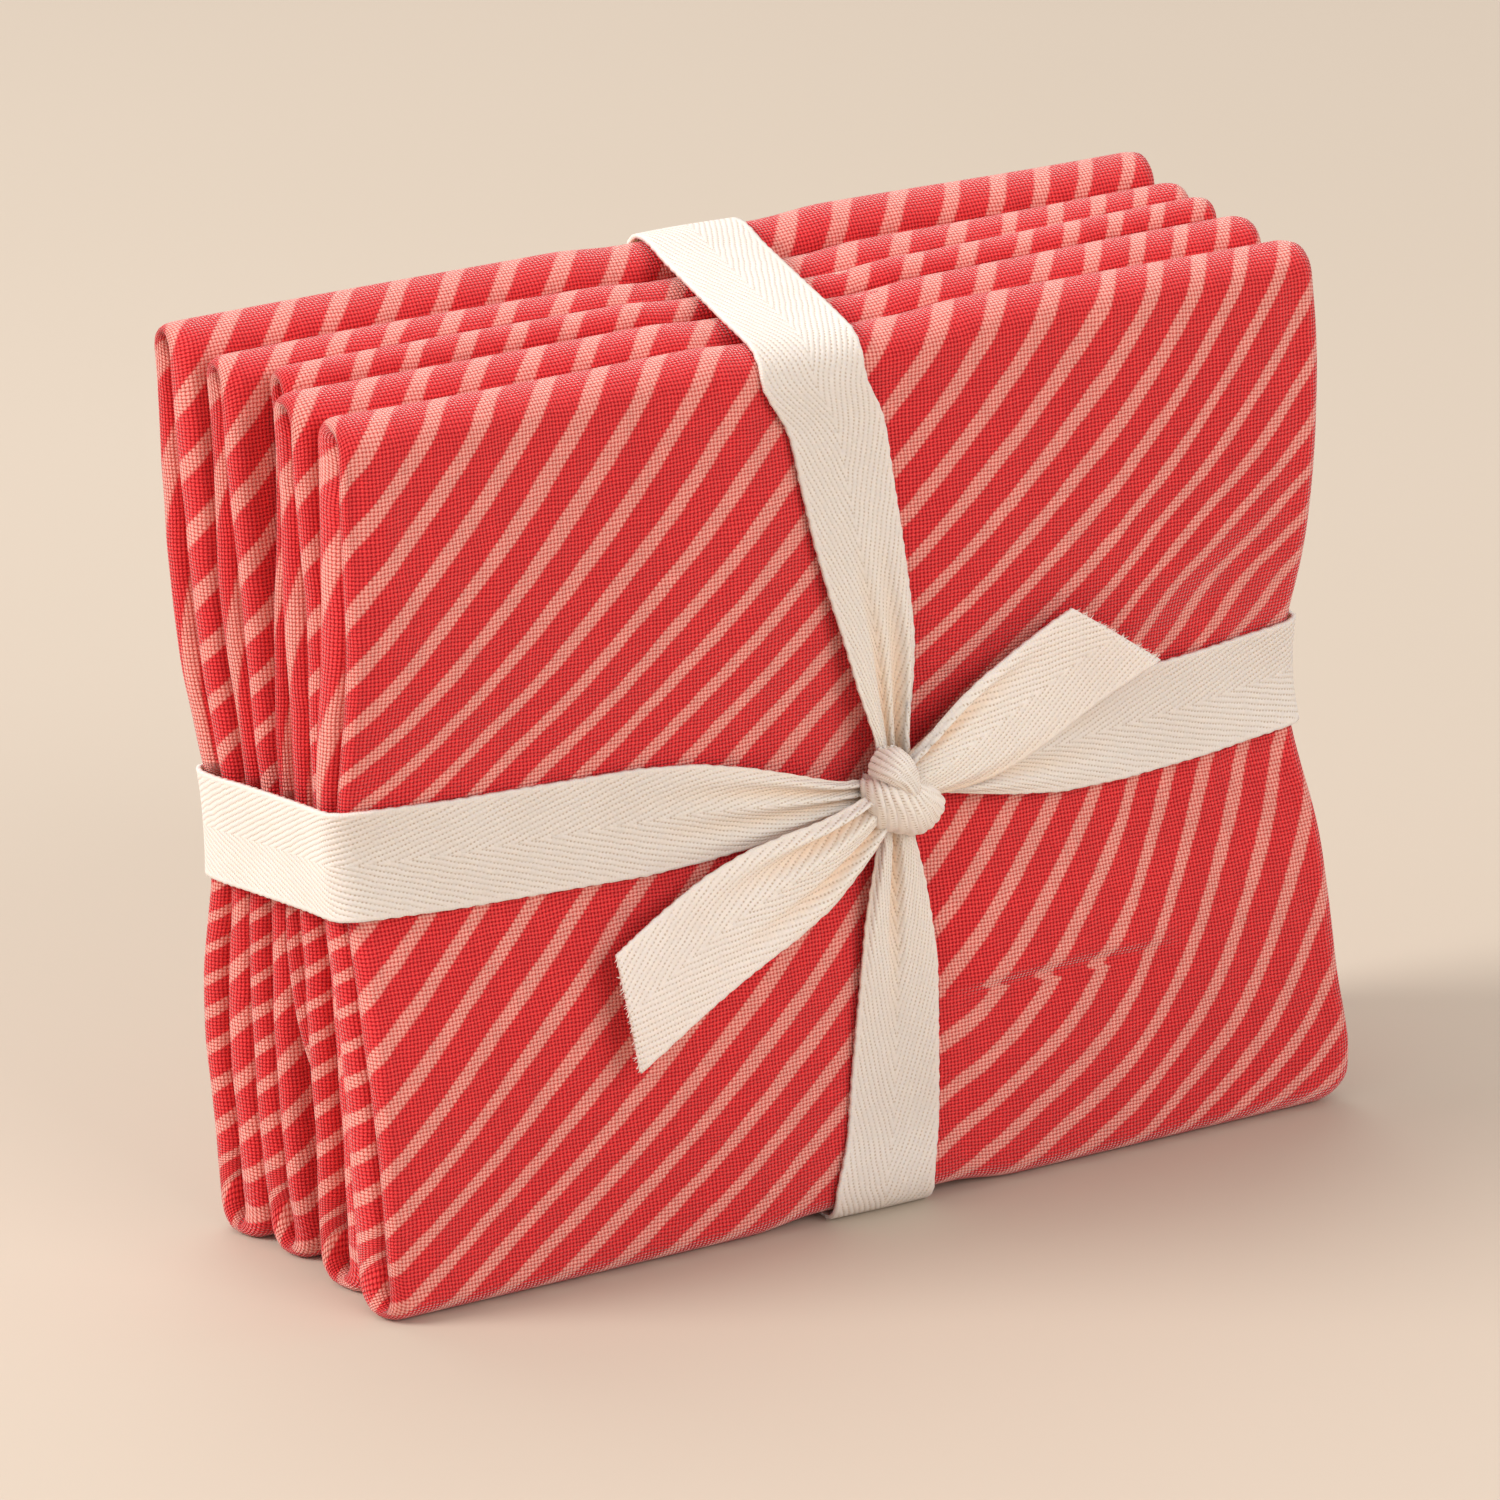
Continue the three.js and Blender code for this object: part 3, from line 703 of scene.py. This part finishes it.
def folded_cut(index, start):
    cut = CUTS[index]
    rows = fold_stations(cut)
    columns = panel_columns(cut.right - cut.left)
    centre = (cut.left + cut.right) / 2
    run = [0.0]
    for a, b in zip(rows, rows[1:]):
        run.append(run[-1] + math.hypot(b[0] - a[0], b[1] - a[1]))
    front_rows = [k for k, r in enumerate(rows) if r[0] < -0.99 * cut.depth / 2 and 20 < r[1] < 140]
    middle = min(front_rows, key=lambda k: abs(rows[k][1] - SPLIT))
    zero = run[middle] + (rows[middle][1] - SPLIT)

    def place(i, j):
        s, x, share, nose = columns[i]
        outer_a, outer_z, inner_a, inner_z, tuck = rows[j]
        a = mix(inner_a, outer_a, share)
        z = mix(inner_z, outer_z, share)
        v = zero - run[j]
        end = 1 if x > 0 else -1
        # The ends swell and shrink a little from place to place, each leg on its own
        uneven = 0.45 * sine_noise(v / 16, 0.0, index * 2.3 + end)
        uneven += 0.18 * sine_noise(v / 6, 0.0, index * 1.3 + 4 * end)
        near_end = ease((abs(x) - 70) / 20)
        x = x * mix(1.0, 0.93, tuck) + centre
        x += nose * NOSE_REACH + end * uneven * near_end * (1 - tuck)
        # At the left the back leg of each cut stands out beyond the front one
        stands_out = mix(0.55, 1.0, ease((95 - z) / 40)) * ease((150 - z) / 34) * (1 - tuck)
        x -= 0.9 * (2 * outer_a / cut.depth) * ease((-62 - x) / 24) * stands_out
        x += cut.pulled * ease((z - 78) / 74) * ease((-30 - x) / 60)
        a += 0.35 * sine_noise(v / 11, 1.0, index + 7 * end) * near_end * (1 - share)
        shift = cut.drawn * ease((58 - z) / 58) ** 1.2 * ease((-30 - x) / 62)
        low = max(0.0, 1 - z / FOOT_REACH) ** 2
        front = start + FOOT_SHIFT[index] * low
        back = start + cut.depth + FOOT_SHIFT[index + 1] * low
        y = mix(front, back, 0.5 + a / cut.depth)
        crest = ease((z - 146) / 10)
        if index == 0:
            if outer_a < -0.4 * cut.depth and share > 0.9:
                y -= front_relief(x, z) * share * ease(z / 12) * (1 - crest)
            x += ease((x - 60) / 30) * (1.9 * bell(z - 11, 11) - 2.4 * ease((6 - z) / 6))
        z += 0.5 * sine_noise(x / 26, 0.4, index * 3.7) * crest * share
        point = settle(x + shift, y, z)
        point[2] = max(point[2], 0.0)
        return point, (s * MM, v * MM), print_place(s, v, cut.phase)

    name = cut.name.replace("cut", "folded")
    piece = grid_piece(name, len(columns), len(rows), place, CLOTH_THICK, 1.0, CLOTH)
    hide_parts(cut.name)


face = -DEPTH / 2
for k, cut in enumerate(CUTS):
    folded_cut(k, face)
    face += cut.depth + GAP


# Tape
def tape_row(x, y, z, normal, from_knot, extra=0.0, gather=GATHER):
    far = max(0.0, from_knot - KNOT_RADIUS)
    normal = unit(np.array(normal, float))
    off = TAPE_OFF + extra + along(LIFT, far)
    return np.array([x, y, z], float) + normal * off, normal, along(gather, far), along(PLEAT, far)


def waist_rows():
    rows = []
    half, radius = DEPTH / 2, 3.4

    def add(x, y, nx, ny):
        from_knot = abs(x - KNOT_X) if ny < -0.99 else FAR
        rows.append(tape_row(x, y, waist_height(x, y), (nx, ny, 0), from_knot))

    def corner(x, y, first):
        for turn in (0, 18, 36, 54, 72, 90):
            angle = math.radians(first + turn)
            nx, ny = math.cos(angle), math.sin(angle)
            sx, sy = math.copysign(1, x), math.copysign(1, y)
            add(x - radius * sx + radius * nx, y - radius * sy + radius * ny, nx, ny)

    for x in (8, 12.6, 15.1, 18.5, 23, 30, 40, 54, 68, 80):
        add(x, -half, 0, -1)
    corner(93.5, -half, -90)
    for x, y in ((93.5, -20), (92.7, -7), (91.9, 7), (91.1, 20)):
        add(x, y, 1, 0.05)
    corner(90.8, half, 0)
    for x in (80, 56, 33, 17, 3, -11, -26, -46, -66, -82):
        add(x, half, 0, 1)
    corner(-98, half, 90)
    for x, y in ((-98, 20), (-96.7, 8), (-95.3, -5), (-94, -19)):
        add(x, y, -1, -0.1)
    corner(-93.5, -half, 180)
    for x in (-82, -66, -53, -40, -29, -20, -12.5, -7.5, -3.8, 0, 4):
        add(x, -half, 0, -1)
    return rows


def upright_rows():
    rows = []
    half = DEPTH / 2
    first, last = CUTS[0], CUTS[-1]
    front_middle = -half + first.depth / 2
    back_middle = half - last.depth / 2

    def add(x, y, z, ny, nz, extra=0.0):
        from_knot = abs(z - KNOT_Z) if ny == -1 else FAR
        rows.append(tape_row(x, y, z, (0, ny, nz), from_knot, extra, GATHER_UPRIGHT))

    def over(y):
        return mix(-4.6, 2.2, (y + half) / DEPTH)

    def under(y):
        return mix(0.2, 3.2, (y + half) / DEPTH)

    def fold(cut, middle, base, low, place_x, turns, extra=0.0):
        for turn in turns:
            a, z = fold_point(cut.depth, base, turn, low)
            before = fold_point(cut.depth, base, turn - 4, low)
            after = fold_point(cut.depth, base, turn + 4, low)
            ta, tz = after[0] - before[0], after[1] - before[1]
            size = math.hypot(ta, tz)
            add(place_x(middle + a), middle + a, z, tz / size, -ta / size, extra)

    for z in (80, 83, 86.2, 90, 96, 103, 112, 122, 133, 143):
        add(along(UPRIGHT_FRONT, z), -half, z, -1, 0)
    fold(first, front_middle, first.top, False, over, (178, 156, 134, 112, 92))
    for y in (-12, 0, 12):
        add(over(y), y, mix(157.2, 162.6, (y + 23.5) / 46.7), -0.11, 1)
    fold(last, back_middle, last.top, False, over, (92, 70, 48, 26, 4))
    for z in (148, 134, 120, 106, 97, 89, 82, 76, 70, 63, 55, 46, 32, 18):
        over_waist_tape = 1.5 * ease((26 - abs(z - 76.5)) / 11)
        add(along(UPRIGHT_BACK, z), half, z, 1, 0, over_waist_tape)
    fold(last, back_middle - 0.9, 0.0, True, under, (358, 342, 326, 308), 0.3)
    for y in (20, 7, -7, -20):
        add(under(y), y, 0.35, 0, -1)
    fold(first, front_middle, 0.0, True, under, (232, 214, 198, 182), 0.3)
    for z in (15, 26, 36, 45, 53, 59, 63.4, 67, 70, 74):
        add(along(UPRIGHT_FRONT, z), -half, z, -1, 0)
    return rows


# Free ends: middle x, z, height off the cloth, share of the width, pleat
UPPER_TAIL = [
    (7.4, 78.2, 6.6, 0.36, 1.0), (10.4, 79.4, 7.2, 0.5, 1.0), (13.4, 80.6, 7.4, 0.64, 1.0),
    (17.2, 82.2, 7.0, 0.8, 0.95), (21, 83.8, 6.5, 0.92, 0.75), (26, 86.0, 5.8, 1.0, 0.45),
    (33, 89.1, 5.0, 1.03, 0.15), (41, 93, 4.8, 1.03, 0), (50, 97, 5.2, 1.03, 0),
]
LOWER_TAIL = [
    (3.4, 75.2, 6.4, 0.34, 1.0), (-0.8, 72.8, 7.0, 0.48, 1.0), (-6.6, 69.6, 6.8, 0.66, 0.95),
    (-12, 66.9, 6.2, 0.84, 0.75), (-19, 63.9, 5.4, 0.96, 0.4), (-27, 60.6, 5.2, 1, 0.12),
    (-36, 56.2, 5.6, 1, 0), (-48.6, 49.3, 6.6, 1, 0),
]
# Height of the pleats across each tape, from -1 to 1, where it enters the knot
FLAT_PLEATS = [(-1, 0.0), (-0.7, 0.7), (-0.35, -0.5), (0, 0.6), (0.35, -0.5), (0.7, 0.7), (1, 0.0)]
UPRIGHT_TOP = [
    (-1, 0.3), (-0.78, 1.2), (-0.5, -0.9), (-0.2, 0.1), (0.05, -0.9), (0.35, 0.5), (0.7, 1.1), (1, 1.0),
]
UPRIGHT_LOW = [(-1, 0.3), (-0.6, 1.0), (-0.2, 0.9), (0.12, -0.9), (0.4, 0.7), (0.75, 0.9), (1, -0.2)]
UPPER_PLEATS = [(-1, -0.4), (-0.6, 0.5), (-0.1, 0.7), (0.35, 0.2), (0.6, -1.0), (0.84, 1.1), (1, 0.3)]
LOWER_PLEATS = [
    (-1, 0.2), (-0.75, 1.1), (-0.42, -0.8), (-0.1, 0.8), (0.3, 0.4), (0.55, -0.7), (0.8, 0.6), (1, 0.2),
]
# Distance between rows along a tape, points across it, and the part that a slanting end takes
TAPE_STEP = 1.3
TAPE_ACROSS = 41
SLANT_REACH = 9.0


def tail_rows(table):
    outwards = np.array([0.0, -1, 0])
    return [
        (np.array([x, -DEPTH / 2 - off, z], float), outwards, share, pleat)
        for x, z, off, share, pleat in table
    ]


def refine(rows):
    """Rows along a smooth line through the given ones, about TAPE_STEP apart."""
    points = np.array([r[0] for r in rows])
    extra = np.array([[*r[1], r[2], r[3]] for r in rows])
    knots = np.concatenate([[0], np.cumsum(np.linalg.norm(np.diff(points, axis=0), axis=1))])
    slopes = np.gradient(points, knots, axis=0)
    out = []
    for k in range(len(rows) - 1):
        length = knots[k + 1] - knots[k]
        count = max(1, round(length / TAPE_STEP))
        for t in np.arange(count) / count:
            h = hermite(t)
            p = h[0] * points[k] + h[1] * length * slopes[k]
            p = p + h[2] * points[k + 1] + h[3] * length * slopes[k + 1]
            e = mix(extra[k], extra[k + 1], t)
            out.append((p, unit(e[:3]), e[3], e[4]))
    out.append((points[-1], extra[-1][:3], extra[-1][3], extra[-1][4]))
    return out


def loose_threads(name, cut, inner, node, seed):
    """Short frayed thread ends along a cut edge."""
    chance = random.Random(seed)
    outwards = np.array([0, -1, 0])
    bm = bmesh.new()
    side = unit(cut[-1] - cut[0])
    for _ in range(54):
        t = chance.uniform(0, len(cut) - 1.001)
        i = int(t)
        spot = mix(cut[i], cut[i + 1], t - i)
        ahead = unit(spot - mix(inner[i], inner[i + 1], t - i))
        length = chance.uniform(0.3, 1.15)
        way = unit(ahead + side * chance.uniform(-0.7, 0.7) + outwards * chance.uniform(-0.35, 0.35))
        spot = spot + outwards * chance.uniform(-0.3, 0.3) + way * (length / 2 - 0.25)
        made = bmesh.ops.create_cone(
            bm, cap_ends=True, segments=5, radius1=0.085 * MM, radius2=0.03 * MM, depth=length * MM,
        )
        turn = Vector(way).to_track_quat("Z", "Y").to_matrix().to_4x4()
        move = Matrix.Translation(Vector(in_frame(spot))) @ turn
        bmesh.ops.transform(bm, matrix=move, verts=made["verts"])
    piece = add_mesh(name, bm, THREAD)
    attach(piece, "root")
    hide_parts(node)
    return piece


def tape_piece(name, node, held, rows, side_of, pleats, seed, rib_way=1, slant=0.0):
    """A tape along rows, with pleats near the knot. Its last end may slant."""
    rows = refine(rows)
    count = len(rows)
    steps = [np.linalg.norm(b[0] - a[0]) for a, b in zip(rows, rows[1:])]
    run = np.concatenate([[0], np.cumsum(steps)])
    total = run[-1]
    # Gathered tails take the copy of the tape with its cream painted lighter
    material, pleat_rise = (LIT_END_TAPE, 2.1) if held == "gathered" else (TAPE, 1.5)

    def place(i, j):
        c = -1 + 2 * i / (TAPE_ACROSS - 1)
        middle, normal, share, pleat = rows[j]
        w = c * TAPE_WIDTH / 2
        ahead = unit(rows[min(count - 1, j + 1)][0] - rows[max(0, j - 1)][0])
        side = side_of(normal, ahead)
        table = pleats[0] if run[j] < total / 2 else pleats[1]
        rise = pleat_rise * pleat * soft_along(table, c)
        slide = 0.35 * pleat * (soft_along(table, min(1, c + 0.08)) - soft_along(table, max(-1, c - 0.08)))
        # Edge threads pull in a little, and the flat tape is never quite flat
        soft = 0.12 * sine_noise(run[j] / 9, c * 1.4, seed) * (1 - min(1, pleat)) + 0.1 * (1 - c * c)
        edge = 0.1 * math.sin(run[j] * 2.1) * c**8
        shift = w * share + slide + edge * math.copysign(1, c)
        point = middle + side * shift + normal * (rise + soft)
        slid = slant * w * max(0.0, 1 - (total - run[j]) / SLANT_REACH)
        point = settle(*(point + ahead * slid))
        point[2] = max(point[2], TAPE_THICK / 2)
        # Masks for painted shade in the valleys of the pleats and painted light on the pleats
        valley = min(1.0, pleat) * ease(0.4 - 0.75 * soft_along(table, c))
        return point, (w * MM, rib_way * (run[j] + slid) * MM), (valley, min(1.0, pleat))

    piece = grid_piece(name, TAPE_ACROSS, count, place, TAPE_THICK, 0.0, material)
    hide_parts(node)
    if slant:
        cut = [place(i, count - 1)[0] for i in range(0, TAPE_ACROSS, 4)]
        inner = [place(i, count - 2)[0] for i in range(0, TAPE_ACROSS, 4)]
        loose_threads(name + "_threads", cut, inner, node, count)


def up(normal, ahead):
    return np.array([0.0, 0, 1])


def leftwards(normal, ahead):
    return np.array([-1.0, 0, 0])


tape_piece(
    "tape_round_waist", "waist_tape", "stretched", waist_rows(), up, (FLAT_PLEATS, FLAT_PLEATS), 2.0,
)
tape_piece(
    "tape_upright", "upright_tape", "stretched", upright_rows(), leftwards, (UPRIGHT_TOP, UPRIGHT_LOW), 3.0,
)
tape_piece(
    "tape_end_upper", "upper_tail", "gathered", tail_rows(UPPER_TAIL), np.cross,
    (UPPER_PLEATS, UPPER_PLEATS), 2.5, -1, -0.64,
)
tape_piece(
    "tape_end_lower", "lower_tail", "gathered", tail_rows(LOWER_TAIL), np.cross,
    (LOWER_PLEATS, LOWER_PLEATS), 3.5, -1, 0.44,
)


# Knot: each wrap is a ribbed band; its rows are lines along the ribs, as x, z, y
MAIN_WRAP = [
    [(1.8, 79.8, -28.0), (0.3, 79.2, -31.0), (0.1, 77.2, -31.6), (0.8, 74.4, -30.8), (1.8, 72.6, -27.5)],
    [(1.8, 80.2, -32.0), (0.6, 79.0, -35.5), (0.9, 75.6, -35.6), (1.8, 72.2, -33.4), (3.0, 70.0, -28.5)],
    [(2.8, 80.6, -34.6), (2.3, 79.0, -37.4), (3.5, 75.2, -37.4), (4.9, 71.2, -35.0), (6.4, 68.8, -28.5)],
    [(3.6, 81.0, -37.2), (5.0, 78.2, -38.0), (7.0, 73.8, -37.4), (9.1, 69.9, -34.4), (10.7, 67.4, -28.5)],
    [(5.6, 79.4, -37.0), (7.5, 77.2, -37.6), (9.9, 73.8, -36.8), (12.3, 70.6, -33.8), (13.9, 69.8, -28.5)],
    [(7.0, 78.6, -35.8), (9.0, 77.4, -36.4), (11.7, 75.2, -35.6), (14.2, 73.2, -33.0), (15.5, 72.6, -28.5)],
    [(7.4, 79.4, -32.0), (9.4, 78.7, -33.0), (11.8, 77.2, -33.0), (13.6, 75.6, -31.4), (14.6, 74.8, -27.5)],
]
TOP_WRAP = [
    [(5.8, 84.8, -33.0), (5.3, 84.9, -35.6), (6.0, 83.9, -36.8),
     (6.9, 81.8, -36.8), (7.9, 78.8, -35.4), (8.3, 77.0, -31.0)],
    [(4.0, 85.2, -32.5), (4.0, 85.1, -36.2), (4.9, 83.8, -37.9),
     (6.1, 81.5, -38.1), (7.5, 78.6, -36.9), (8.0, 76.6, -33.0)],
    [(2.4, 84.4, -32.5), (2.6, 84.2, -36.4), (3.6, 83.1, -38.5),
     (5.1, 81.2, -38.9), (6.9, 78.6, -37.9), (7.7, 76.4, -34.5)],
    [(1.2, 82.7, -32.5), (1.5, 82.6, -36.0), (2.6, 82.0, -38.4),
     (4.3, 80.6, -39.0), (6.3, 78.2, -38.1), (7.4, 76.3, -35.0)],
    [(1.3, 80.6, -32.0), (1.4, 80.8, -34.8), (2.2, 80.6, -37.0),
     (3.8, 79.5, -37.6), (5.9, 77.4, -36.6), (7.1, 76.0, -34.0)],
]
RIB_HEIGHT = 0.34
FOLD_HEIGHT = 0.13
WRAP_THICK = 0.5


def spline(points, t):
    """A smooth line through points at t from 0 to 1."""
    last = len(points) - 1
    k = min(last - 1, int(t * last))
    a, b = points[k], points[k + 1]
    before, after = points[max(0, k - 1)], points[min(last, k + 2)]
    h = hermite(t * last - k)
    return h[0] * a + h[1] * 0.5 * (b - before) + h[2] * b + h[3] * 0.5 * (after - a)


def knot_piece(name, lines, ribs, twist):
    lines = [[np.array([x, y, z]) for x, z, y in line] for line in lines]
    across, rows = ribs * 8 + 1, 40

    def surface(q, p):
        return spline([spline(line, p) for line in lines], q)

    def place(i, j):
        q, p = i / (across - 1), j / (rows - 1)
        point = surface(q, p)
        side = surface(min(1, q + 0.02), p) - surface(max(0, q - 0.02), p)
        ahead = surface(q, min(1, p + 0.02)) - surface(q, max(0, p - 0.02))
        normal = np.cross(side, ahead)
        normal /= np.linalg.norm(normal) + 1e-9
        if normal[1] > 0:
            normal = -normal
        shifted = q * ribs + twist * math.sin(2.2 * p + 0.7) * 0.4
        rib = abs(math.sin(math.pi * shifted)) ** 0.7
        # Folds in the gathered tape run across several ribs and die out at the wrap's ends
        fold = math.sin(2 * math.pi * q * 2.5 + twist) * FOLD_HEIGHT
        point = point + normal * (RIB_HEIGHT * rib + fold * math.sin(math.pi * p))
        # The print place paints the knot's tape lighter, as on a pleat, with no valley shade
        return point, ((shifted + 0.02) * RIB_PITCH * MM, p * 20 * MM), (0.0, 0.9)

    piece = grid_piece(name, across, rows, place, WRAP_THICK, 0.0, LIT_KNOT_TAPE)
    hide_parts("knot")
    return piece


main_wrap = knot_piece("knot_wrap_main", MAIN_WRAP, 12, 0.6)
top_wrap = knot_piece("knot_wrap_top", TOP_WRAP, 8, 1.4)


# Floor
def plain_floor():
    bm = bmesh.new()
    bmesh.ops.create_grid(bm, x_segments=1, y_segments=1, size=4.0)
    material = plain_material("pale_floor", FLOOR, 3.0, 2.0, 0.7, 0.2)
    add_mesh("floor", bm, material)


plain_floor()


# Camera, fitted to the edges of the stack in the photo
YAW, PITCH, ROLL = (math.radians(a) for a in (27.16, 19.47, 2.2))
CAMERA_T = 188 * np.array([0.0223, 7.6429, 0.0170])
CAMERA_AIM = np.array([0, 0, 79.2])


def make_camera():
    cy, sy = math.cos(YAW), math.sin(YAW)
    cp, sp = math.cos(PITCH), math.sin(PITCH)
    cr, sr = math.cos(ROLL), math.sin(ROLL)
    yaw = np.array([[cy, -sy, 0], [sy, cy, 0], [0, 0, 1]])
    pitch = np.array([[1, 0, 0], [0, cp, -sp], [0, sp, cp]])
    roll = np.array([[cr, 0, -sr], [0, 1, 0], [sr, 0, cr]])
    turn = roll @ pitch @ yaw
    spot = in_frame(-turn.T @ CAMERA_T + CAMERA_AIM)
    data = bpy.data.cameras.new("camera")
    data.lens = 201.6
    data.sensor_width = 36
    data.sensor_fit = "HORIZONTAL"
    data.clip_end = 20
    camera = bpy.data.objects.new("camera", data)
    bpy.context.collection.objects.link(camera)
    right, forward, above = turn
    rows = [[right[k], above[k], -forward[k], spot[k]] for k in range(3)]
    camera.matrix_world = Matrix(rows + [[0, 0, 0, 1]])
    bpy.context.scene.camera = camera


make_camera()


# Lights
def area_light(name, spot, aim, size, power, colour):
    data = bpy.data.lights.new(name, "AREA")
    data.shape = "DISK"
    data.size = size
    data.energy = power
    data.color = colour
    light = bpy.data.objects.new(name, data)
    bpy.context.collection.objects.link(light)
    light.location = spot
    light.rotation_euler = (Vector(aim) - Vector(spot)).to_track_quat("-Z", "Y").to_euler()


area_light("key", (-1.9, 0.55, 1.45), (0, 0, 0.07), 1.1, 51.0, (1.0, 0.98, 0.955))
area_light("front_fill", (0.7, -2.6, 1.5), (0, 0, 0.07), 1.8, 35.0, (1.0, 0.985, 0.965))
area_light("top", (0.1, 0.9, 1.9), (0, 0, 0.1), 1.4, 10.0, (1.0, 0.985, 0.965))

world = bpy.data.worlds.new("studio")
bpy.context.scene.world = world
world.use_nodes = True
background = world.node_tree.nodes["Background"].inputs
background["Color"].default_value = (1.0, 0.97, 0.935, 1)
background["Strength"].default_value = 0.66
bpy.context.scene.view_settings.view_transform = "Standard"
